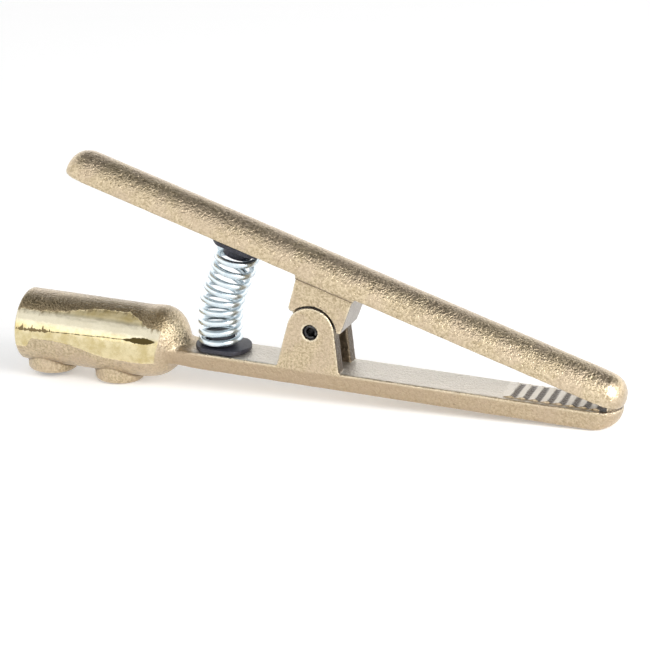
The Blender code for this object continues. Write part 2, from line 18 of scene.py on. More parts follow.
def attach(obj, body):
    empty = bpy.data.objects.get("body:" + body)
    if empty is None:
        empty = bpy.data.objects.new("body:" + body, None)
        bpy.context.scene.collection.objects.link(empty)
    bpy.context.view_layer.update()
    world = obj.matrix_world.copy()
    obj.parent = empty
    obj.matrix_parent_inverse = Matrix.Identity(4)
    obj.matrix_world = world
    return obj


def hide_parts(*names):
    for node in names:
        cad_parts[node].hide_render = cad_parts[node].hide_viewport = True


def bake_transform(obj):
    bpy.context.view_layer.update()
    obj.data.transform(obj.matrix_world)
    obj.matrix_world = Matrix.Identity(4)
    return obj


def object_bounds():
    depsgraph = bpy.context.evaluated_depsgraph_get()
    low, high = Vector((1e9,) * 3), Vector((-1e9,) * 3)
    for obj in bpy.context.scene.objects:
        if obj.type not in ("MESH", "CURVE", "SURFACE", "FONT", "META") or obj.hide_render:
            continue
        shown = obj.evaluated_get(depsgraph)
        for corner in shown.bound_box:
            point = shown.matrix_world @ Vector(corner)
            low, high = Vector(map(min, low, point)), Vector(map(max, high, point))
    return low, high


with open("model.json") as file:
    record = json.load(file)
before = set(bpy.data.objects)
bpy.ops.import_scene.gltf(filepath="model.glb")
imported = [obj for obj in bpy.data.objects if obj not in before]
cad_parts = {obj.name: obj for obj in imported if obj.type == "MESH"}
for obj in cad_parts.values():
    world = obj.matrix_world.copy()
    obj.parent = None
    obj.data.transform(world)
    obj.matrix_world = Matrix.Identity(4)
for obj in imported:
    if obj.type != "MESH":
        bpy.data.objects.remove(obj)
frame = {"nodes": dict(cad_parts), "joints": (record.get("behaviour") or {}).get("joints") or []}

PACKED_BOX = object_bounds()
MM = 0.001

# Lower jaw, in its own frame, in millimetres
PIVOT_X, PIVOT_Z = 103.65, 12.7
SOCKET_AXIS_Z = -1.1
MOUTH_X = 1.0
BORE_END_X = 46.0
BORE_REACH = 9.2              # from the socket's axis, past the bore's edge
BOSS_X = {"rear": 8.3, "front": 33.1}
BOSS_BOTTOM_Z = -15.4
SCREW_HOLE_REACH = 6.2
PIN_HOLE_REACH = 3.2
DOME_END_X = 57.0
DOME_FILLET = 4.5
EAR_SLOT_HALF_WIDTH = 3.7
EAR_SLOT_HALF_LENGTH = 14.0
EAR_FRONT_REACH = 16.0

# Teeth: eight crests across each jaw, with a dark gap in front of each
TEETH_X = (166.5, 199.0)
TEETH_HALF_WIDTH = 6.6
COMB_HALF_WIDTH = 6.2
FACE_DEPTH = 0.3              # below the jaw's face, still part of the teeth
TOOTH_PITCH = 3.93
FIRST_CREST_X = 169.8
GAP_SKEW = -0.03
GAP_START = 0.2               # from the crest to the gap
GAP_SHARE = 0.52              # of the pitch
RIM_DEPTH = 1.6
TIP_DEPTH = 0.6
TIP_LAND_HEIGHT = 3.0

# Upper jaw, in its own frame
JAW_ANGLE = math.radians(16.087)
UPPER_FLAT_Z = 16.44
UPPER_TEETH_X = (63.0, 97.5)
UPPER_CREST_X = ((FIRST_CREST_X + TOOTH_PITCH / 2 - PIVOT_X) / math.cos(JAW_ANGLE)
                 - UPPER_FLAT_Z * math.tan(JAW_ANGLE))
HOLLOW_RADIUS = 8.65
HOLLOW_BOTTOM_Z = 2.6
LUG_SIDE = (3.0, 3.4)         # the lug's side faces lie between these distances from the middle
STEP_Z = 15.34                # the line where the pivot block meets the bar
STEP_HALF_LENGTH = 11.2
STEP_SIDE = 6.8

# Insulators: a flange with two flats, and a collar that the spring sits round
SEAT_DISTANCE = 32.95
LOWER_COLLAR_X = -1.2
INSULATOR = {"radius": 9.2, "half_width": 7.6, "thickness": 1.4, "collar": 4.8, "height": 4.9,
             "hole": 2.7, "edge": 0.3, "fillet": 0.5, "round": 0.4, "softening": 0.12,
             "chamfer": 0.2}
INSULATOR_SIDES = 160
GAP = 0.3

# Spring
WIRE_RADIUS = 1.1
SPRING_RADIUS = 6.2
SPRING_BOW = 1.5
SPRING_TURNS = 9.0
TOP_SLACK = 1.5               # the last coil hangs this far below its seat
TOP_LEAN = 0.58               # and leans by this share of the jaws' angle
CLOSED_TURNS = 0.6
CLOSED_PITCH_SHARE = 0.1
STEPS_PER_TURN = 40
WIRE_SIDES = 14

# Pivot pin and set screws
PIN = {"half_length": 7.6, "radius": 2.4, "bore": 1.5, "half_slot": 0.4, "chamfer": 0.45,
       "rounding": 0.08}
PIN_SLOT_ANGLE = math.radians(-40)
PIN_SIDES = {"outer": 72, "inner": 48}
SCREW = {"radius": 4.5, "length": 6.35, "pitch": 0.9, "thread_depth": 0.42, "lead": 0.6,
         "across_flats": 4.8, "key_depth": 3.4}
SCREW_SIDES = 72

# Fineness of the castings' meshes, below 200,000 triangles each
OCTREE_DEPTH = 9
REMESH_SCALE = {"lower_jaw": 0.9, "upper_jaw": 0.99}


# ---- frames ----------------------------------------------------------------------------

def joint_named(name):
    """The record's joint of that name."""
    return next(j for j in frame["joints"] if j["name"] == name)


def jaw_frames():
    """Matrices from the lower and upper jaws' own frames, in millimetres, to the row frame."""
    pivot = Matrix.Translation(joint_named("jaw_pivot")["pos_m"])
    up = joint_named("front_screw_travel")["axis"]
    tilt = math.atan2(up[0], up[2])
    scale = Matrix.Diagonal((MM, MM, MM, 1))
    origin = Matrix.Translation((-PIVOT_X, 0, -PIVOT_Z))
    lower = pivot @ Matrix.Rotation(tilt, 4, "Y") @ scale @ origin
    upper = pivot @ Matrix.Rotation(tilt + JAW_ANGLE, 4, "Y") @ scale
    return lower, upper


LOWER, UPPER = jaw_frames()


def moved(points, matrix):
    """An array of points after a 4 x 4 matrix."""
    m = np.array(matrix, float)
    return points @ m[:3, :3].T + m[:3, 3]


# ---- meshes ----------------------------------------------------------------------------

def mesh_points(mesh):
    """A mesh's vertices as an array."""
    flat = np.empty(len(mesh.vertices) * 3, np.float32)
    mesh.vertices.foreach_get("co", flat)
    return flat.reshape(-1, 3).astype(float)


def set_points(mesh, points):
    """Writes an array of points into a mesh."""
    mesh.vertices.foreach_set("co", points.astype(np.float32).ravel())
    mesh.update()


def set_vector(mesh, name, values):
    """Stores a vector at each vertex, for the materials."""
    layer = mesh.attributes.new(name, "FLOAT_VECTOR", "POINT")
    layer.data.foreach_set("vector", values.astype(np.float32).ravel())


def set_value(mesh, name, values):
    """Stores a number at each vertex, for the materials."""
    layer = mesh.attributes.get(name) or mesh.attributes.new(name, "FLOAT", "POINT")
    layer.data.foreach_set("value", values.astype(np.float32))


def finish_piece(name, mesh, place, to_row, material, nodes):
    """Makes the shown piece from a mesh whose points are millimetres in a jaw's frame."""
    set_vector(mesh, "place", place)
    set_points(mesh, moved(mesh_points(mesh), to_row))
    mesh.shade_smooth()
    mesh.materials.clear()
    mesh.materials.append(material)
    piece = bpy.data.objects.new(name, mesh)
    bpy.context.scene.collection.objects.link(piece)
    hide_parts(*nodes)
    return piece


def sharpen(mesh, degrees):
    """Keeps edges steeper than the given angle crisp."""
    mesh.set_sharp_from_angle(angle=math.radians(degrees))


def rings_to_mesh(name, rings, closed=False, caps=True):
    """A solid skinned over rings of equally many points; closed joins last and first ring."""
    bm = bmesh.new()
    made = [[bm.verts.new(p) for p in ring] for ring in rings]
    pairs = list(zip(made, made[1:]))
    if closed:
        pairs.append((made[-1], made[0]))
    for one, two in pairs:
        for k in range(len(one)):
            j = (k + 1) % len(one)
            bm.faces.new((one[k], one[j], two[j], two[k]))
    if caps and not closed:
        bm.faces.new(made[0])
        bm.faces.new(made[-1])
    bmesh.ops.recalc_face_normals(bm, faces=bm.faces[:])
    mesh = bpy.data.meshes.new(name)
    bm.to_mesh(mesh)
    bm.free()
    return mesh


# ---- castings --------------------------------------------------------------------------

def remeshed(node, to_row):
    """The CAD node's solid as an even, fine mesh, in millimetres in its jaw's frame."""
    bm = bmesh.new()
    bm.from_mesh(frame["nodes"][node].data)
    bm.transform(to_row.inverted())
    bmesh.ops.remove_doubles(bm, verts=bm.verts[:], dist=0.0005)
    rough = bpy.data.meshes.new("rough")
    bm.to_mesh(rough)
    bm.free()
    holder = bpy.data.objects.new("holder", rough)
    bpy.context.scene.collection.objects.link(holder)
    modifier = holder.modifiers.new("even", "REMESH")
    modifier.mode = "SHARP"
    modifier.octree_depth = OCTREE_DEPTH
    modifier.scale = REMESH_SCALE[node]
    modifier.use_remove_disconnected = False
    graph = bpy.context.evaluated_depsgraph_get()
    mesh = bpy.data.meshes.new_from_object(holder.evaluated_get(graph), depsgraph=graph)
    bpy.data.objects.remove(holder)
    bpy.data.meshes.remove(rough)
    return mesh


def edge_pairs(mesh):
    """The two vertex numbers of every edge."""
    flat = np.empty(len(mesh.edges) * 2, np.int32)
    mesh.edges.foreach_get("vertices", flat)
    return flat.reshape(-1, 2)


def neighbour_mean(values, pairs):
    """For each vertex, the mean of its neighbours' values."""
    a, b = pairs[:, 0], pairs[:, 1]
    count = np.bincount(a, minlength=len(values)) + np.bincount(b, minlength=len(values))
    columns = [np.bincount(a, c[b], len(values)) + np.bincount(b, c[a], len(values))
               for c in values.T]
    return np.stack(columns, 1) / np.maximum(count, 1)[:, None]


def relaxed(points, pairs, weight, rounds):
    """Points after smoothing, each by its own weight."""
    for _ in range(rounds):
        points = points + weight[:, None] * (neighbour_mean(points, pairs) - points)
    return points


def normals_of(mesh):
    """Unit normals at the vertices."""
    flat = np.empty(len(mesh.vertices) * 3, np.float32)
    mesh.vertex_normals.foreach_get("vector", flat)
    return flat.reshape(-1, 3).astype(float)


def near(values, centre, width):
    """A soft bump of height 1 about the centre."""
    return np.exp(-((values - centre) / width) ** 2)


def ramp(values, low, high):
    """0 at low and 1 at high, straight between; low may be the larger."""
    return np.clip((values - low) / (high - low), 0, 1)


def wavy(points, scale, seed):
    """Smooth noise from -1 to 1 at each point; scale is in waves per millimetre."""
    offset = Vector((seed, 2 * seed, 3 * seed))
    return np.array([noise.noise(Vector(p) * scale + offset) for p in points])


def convexity(points, normals, pairs):
    """Curvature in 1/mm: positive on outer edges, negative in corners."""
    offset = neighbour_mean(points, pairs) - points
    cell = np.linalg.norm(points[pairs[:, 0]] - points[pairs[:, 1]], axis=1).mean()
    bend = -4 * (offset * normals).sum(1) / cell ** 2
    for _ in range(2):
        bend = 0.5 * bend + 0.5 * neighbour_mean(bend[:, None], pairs)[:, 0]
    return bend


def casting(node, to_row, body, material, fillets, crisp, seed):
    """A casting with fillets, a slightly uneven skin, and its curvature for the material."""
    mesh = remeshed(node, to_row)
    pairs = edge_pairs(mesh)
    points = mesh_points(mesh)
    machined = crisp(points)
    points = relaxed(points, pairs, 0.5 * (1 - 0.8 * machined), 3)
    points = relaxed(points, pairs, 0.6 * fillets(points), 40)
    set_points(mesh, points)
    normals = normals_of(mesh)
    bend = convexity(points, normals, pairs)
    set_value(mesh, "bend", np.where(machined > 0, np.maximum(bend, 0), bend))
    place = points.copy()
    skin = 0.05 * wavy(points, 0.22, seed) + 0.035 * wavy(points, 0.9, seed + 7)
    points = points + normals * (skin * (1 - machined))[:, None]
    set_points(mesh, points)
    set_vector(mesh, "facing", normals)
    piece = finish_piece(f"{node}_casting", mesh, place, to_row, material, [node])
    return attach(piece, body)


def lower_fillets(p):
    """Where the lower casting's corner is filled: the dome runs smoothly into the bar."""
    return near(p[:, 0], DOME_END_X, DOME_FILLET)


def lower_crisp(p):
    """Crisp parts of the lower casting: bore, mouth, screw holes, pin hole and teeth."""
    radius = np.hypot(p[:, 1], p[:, 2] - SOCKET_AXIS_Z)
    crisp = (p[:, 0] < BORE_END_X) & (radius < BORE_REACH) | (p[:, 0] < MOUTH_X)
    crisp |= np.hypot(p[:, 0] - PIVOT_X, p[:, 2] - PIVOT_Z) < PIN_HOLE_REACH
    for x in BOSS_X.values():
        hole = np.hypot(p[:, 0] - x, p[:, 1]) < SCREW_HOLE_REACH
        crisp |= hole & (p[:, 2] < SOCKET_AXIS_Z)
    teeth = (p[:, 0] > TEETH_X[0]) & (p[:, 0] < TEETH_X[1]) & (p[:, 2] > -FACE_DEPTH)
    crisp |= teeth & (abs(p[:, 1]) < TEETH_HALF_WIDTH)
    return crisp.astype(float)


def no_fillets(p):
    """No extra filling."""
    return np.zeros(len(p))


def upper_crisp(p):
    """Crisp parts of the upper casting: its pin hole and its teeth."""
    pin = np.hypot(p[:, 0], p[:, 2]) < PIN_HOLE_REACH
    teeth = (p[:, 0] > UPPER_TEETH_X[0]) & (p[:, 0] < UPPER_TEETH_X[1])
    teeth &= (p[:, 2] < UPPER_FLAT_Z + FACE_DEPTH) & (abs(p[:, 1]) < TEETH_HALF_WIDTH)
    return (pin | teeth).astype(float)


# ---- small pieces ----------------------------------------------------------------------

def circle(radius, x, z, count):
    """A level ring of points."""
    turns = [2 * math.pi * k / count for k in range(count)]
    return [(x + radius * math.cos(a), radius * math.sin(a), z) for a in turns]


def flatted_disc(radius, half_width, z, count):
    """A level ring of points, trimmed to two flats."""
    ring = []
    for k in range(count):
        a = 2 * math.pi * k / count
        reach = min(radius, half_width / max(abs(math.sin(a)), 1e-6))
        ring.append((reach * math.cos(a), reach * math.sin(a), z))
    return ring


def insulator(node, body, to_row, origin, up, collar_x, material):
    """A top-hat insulator with softened edges: a flange with two flats, and a collar."""
    s = INSULATOR
    edge, top, height, collar, hole = (s[key] for key in ("edge", "thickness", "height",
                                                          "collar", "hole"))
    fillet, bevel, soft, chamfer = s["fillet"], s["round"], s["softening"], s["chamfer"]
    rings = []
    for inset, z in ((1.6 * edge, 0), (0.4 * edge, 0.1 * edge), (0, edge), (0, top - edge),
                     (0.12 * edge, top - 0.45 * edge), (0.5 * edge, top - 0.1 * edge),
                     (1.2 * edge, top)):
        rings.append(flatted_disc(s["radius"] - inset, s["half_width"] - inset, z,
                                  INSULATOR_SIDES))
    for radius, z in ((collar + fillet, top), (collar + soft, top + soft),
                      (collar, top + fillet), (collar, height - bevel),
                      (collar - soft, height - soft), (collar - bevel, height),
                      (hole + chamfer, height), (hole, height - chamfer), (hole, 0)):
        rings.append(circle(radius, collar_x, z, INSULATOR_SIDES))
    rings = [[(origin[0] + x, y, origin[1] + up * z) for x, y, z in ring] for ring in rings]
    mesh = rings_to_mesh(node, rings, closed=True)
    sharpen(mesh, 40)
    piece = finish_piece(f"{node}_hat", mesh, mesh_points(mesh), to_row, material,
                         [node])
    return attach(piece, body)


def pin_ring(y, cut):
    """One cross-section of the slotted pin, its outside reduced by the cut."""
    ring = []
    for radius, count, outside in ((PIN["radius"] - cut, PIN_SIDES["outer"], True),
                                   (PIN["bore"], PIN_SIDES["inner"], False)):
        gap = math.asin(PIN["half_slot"] / radius)
        span = 2 * math.pi - 2 * gap
        for k in range(count):
            share = k / (count - 1) if outside else 1 - k / (count - 1)
            a = PIN_SLOT_ANGLE + gap + span * share
            ring.append((PIVOT_X + radius * math.cos(a), y, PIVOT_Z + radius * math.sin(a)))
    return ring


def pivot_pin(material):
    """The rolled spring pin, chamfered at both ends."""
    half, chamfer, rounding = PIN["half_length"], PIN["chamfer"], PIN["rounding"]
    near_end = [(half - chamfer, 0), (half - rounding, chamfer * 0.35), (half, chamfer * 0.6)]
    rings = [pin_ring(-y, cut) for y, cut in reversed(near_end)]
    rings += [pin_ring(y, cut) for y, cut in near_end]
    mesh = rings_to_mesh("pivot_pin", rings)
    sharpen(mesh, 35)
    piece = finish_piece("pivot_pin_rolled", mesh, mesh_points(mesh), LOWER, material,
                         ["pivot_pin"])
    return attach(piece, "lower")


def hexagon(across, z, count):
    """A level hexagonal ring of points."""
    ring = []
    for k in range(count):
        a = 2 * math.pi * k / count
        within = (a + math.pi / 6) % (math.pi / 3) - math.pi / 6
        reach = across / 2 / math.cos(within)
        ring.append((reach * math.cos(a), reach * math.sin(a), z))
    return ring


def key_hole():
    """Rings of the hexagonal key hole, from its pointed bottom to its chamfered mouth."""
    across, depth = SCREW["across_flats"], SCREW["key_depth"]
    return [circle(0.02, 0, depth + 0.5, SCREW_SIDES), hexagon(across - 0.1, depth, SCREW_SIDES),
            hexagon(across, 0.15, SCREW_SIDES), hexagon(across + 0.3, 0, SCREW_SIDES)]


def screw_outside():
    """Rings of the outside: chamfer, thread ridges and flat point."""
    radius, length, pitch, lead = (SCREW[key] for key in ("radius", "length", "pitch", "lead"))
    outline = [(radius - 0.8, 0), (radius - 0.65, 0.05), (radius - 0.05, lead)]
    z = lead
    while z + pitch < length - 0.4:
        outline += [(radius, z + 0.1), (radius - SCREW["thread_depth"], z + 0.5),
                    (radius, z + pitch)]
        z += pitch
    outline += [(radius - 0.6, length - 0.1), (radius - 0.75, length)]
    return [circle(ring_radius, 0, height, SCREW_SIDES) for ring_radius, height in outline]


def set_screw(side, material):
    """A headless screw with a hexagon socket, thread ridges and a flat point."""
    low = BOSS_BOTTOM_Z + GAP
    rings = [[(BOSS_X[side] + x, y, low + z) for x, y, z in ring]
             for ring in key_hole() + screw_outside()]
    mesh = rings_to_mesh(f"set_screw_{side}", rings)
    sharpen(mesh, 40)
    piece = finish_piece(f"set_screw_{side}_threaded", mesh, mesh_points(mesh), LOWER, material,
                         [f"set_screw_{side}"])
    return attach(piece, f"{side}_screw")


# ---- spring ----------------------------------------------------------------------------

def spring_ends():
    """Centres and directions of the first and last coil, in the lower jaw's frame."""
    lift = INSULATOR["thickness"] + 2 * GAP + WIRE_RADIUS
    low = Vector((PIVOT_X - SEAT_DISTANCE + LOWER_COLLAR_X, 0, lift))
    tilt = Matrix.Rotation(JAW_ANGLE, 3, "Y")
    seat = tilt @ Vector((-SEAT_DISTANCE, 0, UPPER_FLAT_Z - lift - TOP_SLACK))
    along = Matrix.Rotation(JAW_ANGLE * TOP_LEAN, 3, "Y") @ Vector((0, 0, 1))
    return low, Vector((0, 0, 1)), Vector((PIVOT_X, 0, PIVOT_Z)) + seat, along


def bow_point(share):
    """A point on the spring's curved axis, and the axis's direction there."""
    p0, d0, p1, d1 = spring_ends()
    reach = (p1 - p0).length / 3
    a, b, c, d = p0, p0 + d0 * reach, p1 - d1 * reach, p1
    u, v = share, 1 - share
    point = a * v ** 3 + b * 3 * u * v * v + c * 3 * u * u * v + d * u ** 3
    slope = (b - a) * 3 * v * v + (c - b) * 6 * u * v + (d - c) * 3 * u * u
    point.x -= SPRING_BOW * math.sin(math.pi * u) ** 2
    slope.x -= SPRING_BOW * math.pi * math.sin(2 * math.pi * u)
    return point, slope.normalized()


def coil_heights(steps):
    """Share of the axis reached at each step along the wire; the coils close at both ends."""
    heights = [0.0]
    for k in range(steps):
        turn = (k + 0.5) / STEPS_PER_TURN
        ease = min(1, min(turn, SPRING_TURNS - turn) / CLOSED_TURNS)
        heights.append(heights[-1] + CLOSED_PITCH_SHARE + (1 - CLOSED_PITCH_SHARE) * ease)
    return [h / heights[-1] for h in heights]


def wire_path():
    """Points along the middle of the spring's wire."""
    across = Vector((0, 1, 0))
    path = []
    for k, share in enumerate(coil_heights(round(SPRING_TURNS * STEPS_PER_TURN))):
        centre, along = bow_point(share)
        outward = across.cross(along)
        angle = math.pi + 2 * math.pi * k / STEPS_PER_TURN
        path.append(centre + SPRING_RADIUS * (outward * math.cos(angle) + across * math.sin(angle)))
    return path


def spring(material):
    """The zinc-plated spring: round wire along the bowed coil, its ends cut square."""
    path = wire_path()
    rings = []
    last = len(path) - 1
    turns = [2 * math.pi * j / WIRE_SIDES for j in range(WIRE_SIDES)]
    for k, point in enumerate(path):
        along = (path[min(k + 1, last)] - path[max(k - 1, 0)]).normalized()
        first = along.cross(Vector((0, 0, 1))).normalized()
        second = along.cross(first)
        rings.append([point + WIRE_RADIUS * (first * math.cos(a) + second * math.sin(a))
                      for a in turns])
    mesh = rings_to_mesh("spring", rings)
    sharpen(mesh, 60)
    piece = finish_piece("spring_coil", mesh, mesh_points(mesh), LOWER, material,
                         ["spring"])
    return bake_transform(piece)


# ---- materials -------------------------------------------------------------------------

class Graph:
    """A Principled material whose nodes are written as expressions."""

    def __init__(self, name, metallic=0.0):
        self.material = bpy.data.materials.new(name)
        self.material.use_nodes = True
        self.tree = self.material.node_tree
        self.shader = self.tree.nodes["Principled BSDF"]
        self.shader.inputs["Metallic"].default_value = metallic

    def node(self, kind, **settings):
        """A new node with its properties set."""
        made = self.tree.nodes.new(kind)
        for key, value in settings.items():
            setattr(made, key, value)
        return made

    def put(self, socket, value):
        """Links a value's socket, or sets a plain number or colour."""
        if isinstance(value, bpy.types.NodeSocket):
            self.tree.links.new(value, socket)
        else:
            socket.default_value = value

    def attribute(self, name, output="Fac"):
        """A number or vector stored in the mesh."""
        return self.node("ShaderNodeAttribute", attribute_name=name).outputs[output]

    def math(self, operation, a, b=0.0):
        """One arithmetic step."""
        made = self.node("ShaderNodeMath", operation=operation)
        self.put(made.inputs[0], a)
        self.put(made.inputs[1], b)
        return made.outputs[0]

    def sum(self, *terms):
        """Adds number and weight pairs."""
        total = 0.0
        for value, weight in terms:
            total = self.math("ADD", total, self.math("MULTIPLY", value, weight))
        return total

    def product(self, first, *others):
        """Multiplies numbers."""
        for value in others:
            first = self.math("MULTIPLY", first, value)
        return first

    def size(self, value):
        """The number without its sign."""
        return self.math("ABSOLUTE", value)

    def span(self, value, low, high):
        """0 below low, 1 above high, smooth between; low may be the larger, which inverts it."""
        made = self.node("ShaderNodeMapRange", interpolation_type="SMOOTHSTEP")
        flip = low > high
        self.put(made.inputs["Value"], value)
        self.put(made.inputs["From Min"], min(low, high))
        self.put(made.inputs["From Max"], max(low, high))
        self.put(made.inputs["To Min"], 1.0 if flip else 0.0)
        self.put(made.inputs["To Max"], 0.0 if flip else 1.0)
        return made.outputs["Result"]

    def noise(self, vector, scale, detail=2.0, roughness=0.5, distortion=0.0):
        """Noise from about 0.2 to 0.8."""
        made = self.node("ShaderNodeTexNoise")
        for key, value in (("Vector", vector), ("Scale", scale), ("Detail", detail),
                           ("Roughness", roughness), ("Distortion", distortion)):
            self.put(made.inputs[key], value)
        return made.outputs["Fac"]

    def mix(self, share, a, b):
        """A colour between a and b."""
        made = self.node("ShaderNodeMix", data_type="RGBA")
        self.put(made.inputs["Factor"], share)
        self.put(made.inputs["A"], (*a, 1) if isinstance(a, tuple) else a)
        self.put(made.inputs["B"], (*b, 1) if isinstance(b, tuple) else b)
        return made.outputs["Result"]

    def blend(self, share, a, b):
        """A number between a and b."""
        made = self.node("ShaderNodeMix", data_type="FLOAT")
        for key, value in (("Factor", share), ("A", a), ("B", b)):
            self.put(made.inputs[key], value)
        return made.outputs["Result"]

    def split(self, vector):
        """The three parts of a vector."""
        made = self.node("ShaderNodeSeparateXYZ")
        self.put(made.inputs[0], vector)
        return made.outputs[0], made.outputs[1], made.outputs[2]

    def join(self, x, y, z):
        """A vector from three numbers."""
        made = self.node("ShaderNodeCombineXYZ")
        for socket, value in zip(made.inputs, (x, y, z)):
            self.put(socket, value)
        return made.outputs[0]

    def bump(self, height, depth_mm):
        """Turns a height from 0 to 1 into a surface normal."""
        made = self.node("ShaderNodeBump")
        self.put(made.inputs["Height"], height)
        self.put(made.inputs["Distance"], depth_mm * MM)
        return made.outputs["Normal"]

    def dust(self):
        """The pale bloom that a cast skin shows where it turns away from the viewer."""
        self.shader.inputs["Sheen Weight"].default_value = DUST_WEIGHT
        self.shader.inputs["Sheen Roughness"].default_value = DUST_ROUGHNESS
        self.shader.inputs["Sheen Tint"].default_value = DUST_TINT

    def finish(self, color, roughness, normal=None):
        """Connects the results to the shader."""
        self.put(self.shader.inputs["Base Color"], color)
        self.put(self.shader.inputs["Roughness"], roughness)
        if normal is not None:
            self.put(self.shader.inputs["Normal"], normal)
        return self.material


# Colours of the casting skin, then of the places that differ from it
CAST_PALE = (0.665, 0.55, 0.378)
CAST_MID = (0.41, 0.325, 0.205)
CAST_PINK = (0.57, 0.455, 0.34)
# dark of pits in the skin, also painted shade in corners and along the pivot block's step
CAST_DARK = (0.20, 0.145, 0.09)
CAST_EDGE = (0.88, 0.79, 0.60)
# painted reflection: the grey that the bar's top shows of the pale surroundings
TOP_REFLECTION_GREY = (0.72, 0.69, 0.63)
SHADED = (0.40, 0.30, 0.20)
# painted reflection: the grey of the pivot block's faces towards the tip
SIDE_REFLECTION_GREY = (0.42, 0.40, 0.38)
# dark of the gaps between teeth and the closed tip, also painted shade in the ear slot, on the
# ears' fronts and in the block's hollow
GROOVE = (0.066, 0.047, 0.031)
GROOVE_SHARE = 0.92
# tarnish of grazed patches and of the parting line, also painted shade on the socket's top
TARNISH_AND_SHADE = (0.20, 0.15, 0.075)
# dark of the parting line and its painted horizon reflection
TARNISH_DEEP = (0.085, 0.062, 0.022)
POLISHED = (0.78, 0.68, 0.43)
POLISHED_DEEP = (0.62, 0.51, 0.26)
# painted highlight on the ground band
BAND_HIGHLIGHT = (0.61, 0.57, 0.455)
DUST_WEIGHT = 0.32
DUST_ROUGHNESS = 0.30
DUST_TINT = (1.0, 0.95, 0.93, 1)
SKIN_DEPTH = 0.55             # of the bump, in millimetres
WORN_TIP_X = (88.0, 97.0)     # the upper jaw's grain fades between these

# The ground band on the socket: places along it in millimetres, borders in degrees up its side
BAND_END_X = 50.3
BAND_RADIUS = (10.9, 11.2)    # from the socket's axis; nearer in lies the bore
BAND_TOP = 34.0
BAND_BOTTOM = -23.0
PARTING_START = 7.5
PARTING_SLOPE = 0.19
PARTING_END_X = (51.0, 50.2)


def cast_skin(g, place):
    """Colour, roughness and height of the sand-cast surface, with painted shade in its corners."""
    grain = g.noise(place, 1.0, 2.0, 0.6, 0.6)
    flakes = g.noise(place, 1.35, 2.0, 0.6, 0.5)
    fine = g.noise(place, 3.6, 2.0, 0.6)
    mottle = g.noise(place, 0.10, 3.0, 0.6)
    pits = g.span(g.noise(place, 0.62, 1.0, 0.5), 0.70, 0.78)
    bend = g.attribute("bend")
    edge = g.span(bend, 0.35, 1.5)
    corner = g.span(bend, -0.10, -0.80)
    color = g.mix(g.span(g.sum((flakes, 0.65), (grain, 0.35)), 0.36, 0.62), CAST_MID, CAST_PALE)
    color = g.mix(g.product(g.span(mottle, 0.42, 0.6), 0.45), color, CAST_PINK)
    color = g.mix(g.product(pits, 0.5), color, CAST_DARK)
    color = g.mix(g.product(edge, 0.6), color, CAST_EDGE)
    # painted shade: corners and creases, where the surface bends inwards, turn dark
    color = g.mix(g.product(corner, 0.7), color, CAST_DARK)
    roughness = g.sum((fine, 0.20), (flakes, 0.16), (edge, -0.10), (1.0, 0.19))
    height = g.sum((grain, 0.55), (flakes, 0.45), (fine, 0.12), (pits, -0.3))
    g.dust()
    return color, roughness, height


def in_grooves(g, color):
    """The colour, darkened where mark_grooves has marked the mesh."""
    return g.mix(g.product(g.attribute("groove"), GROOVE_SHARE), color, GROOVE)


def step_shade_line(g, place):
    """1 along the shallow line between the pivot block and the upper bar, where shade is painted.
    """
    x, y, z = g.split(place)
    wander = g.product(g.noise(place, 0.5, 2.0, 0.6), 0.5)
    rise = g.size(g.math("SUBTRACT", g.math("ADD", z, wander), STEP_Z + 0.25))
    return g.product(g.span(rise, 0.34, 0.12),
                     g.span(g.size(x), STEP_HALF_LENGTH, STEP_HALF_LENGTH - 0.6),
                     g.span(g.size(y), STEP_SIDE, STEP_SIDE + 0.4))


def upper_brass():
    """Sand-cast brass: painted shade along a line over the pivot block, a painted grey reflection
    on the block's front, and a worn tip.
    """
    g = Graph("cast_brass_upper", metallic=1.0)
    place = g.attribute("place", "Vector")
    x, _, z = g.split(place)
    forward, _, _ = g.split(g.attribute("facing", "Vector"))
    color, roughness, height = cast_skin(g, place)
    color = in_grooves(g, color)
    line = step_shade_line(g, place)
    # painted shade along the step where the pivot block meets the bar
    color = g.mix(g.product(line, 0.75), color, CAST_DARK)
    height = g.math("SUBTRACT", height, g.product(line, 0.5))
    # painted reflection: the pivot block's faces towards the tip turn grey
    block_front_reflection = g.product(g.span(forward, 0.5, 0.8),
                            g.span(z, UPPER_FLAT_Z, UPPER_FLAT_Z - 0.6), g.span(x, 40.0, 30.0))
    color = g.mix(g.product(block_front_reflection, 0.85), color, SIDE_REFLECTION_GREY)
    worn = g.span(x, *WORN_TIP_X)
    height = g.product(height, g.blend(worn, 1.0, 0.35))
    roughness = g.sum((roughness, 1.0), (worn, -0.06))
    return g.finish(color, roughness, g.bump(height, SKIN_DEPTH))


def round_socket(g, place):
    """Degrees up the socket's side, and millimetres from its axis."""
    _, y, z = g.split(place)
    rise = g.math("SUBTRACT", z, SOCKET_AXIS_Z)
    angle = g.math("DEGREES", g.math("ARCTAN2", rise, g.size(y)))
    radius = g.math("SQRT", g.sum((g.product(y, y), 1.0), (g.product(rise, rise), 1.0)))
    return angle, radius


def ground_band(g, place, x, angle, strokes):
    """1 inside the ground band, and how many degrees a place lies below its upper border."""
    ragged = g.noise(place, 0.35, 4.0, 0.65)
    upper = g.sum((1.0, BAND_TOP), (g.span(x, 8.0, 34.0), 20.0), (g.span(x, 39.0, 48.5), -23.0),
                  (strokes, 9.0), (ragged, 8.0))
    raised = g.product(g.span(x, 3.6, 6.8), g.span(x, 36.0, 16.0))
    lower = g.sum((1.0, BAND_BOTTOM), (raised, 17.0), (ragged, 5.0))
    below = g.math("SUBTRACT", upper, angle)
    inside = g.product(g.span(below, -0.8, 0.9),
                       g.span(g.math("SUBTRACT", angle, lower), -0.9, 0.9))
    return inside, below


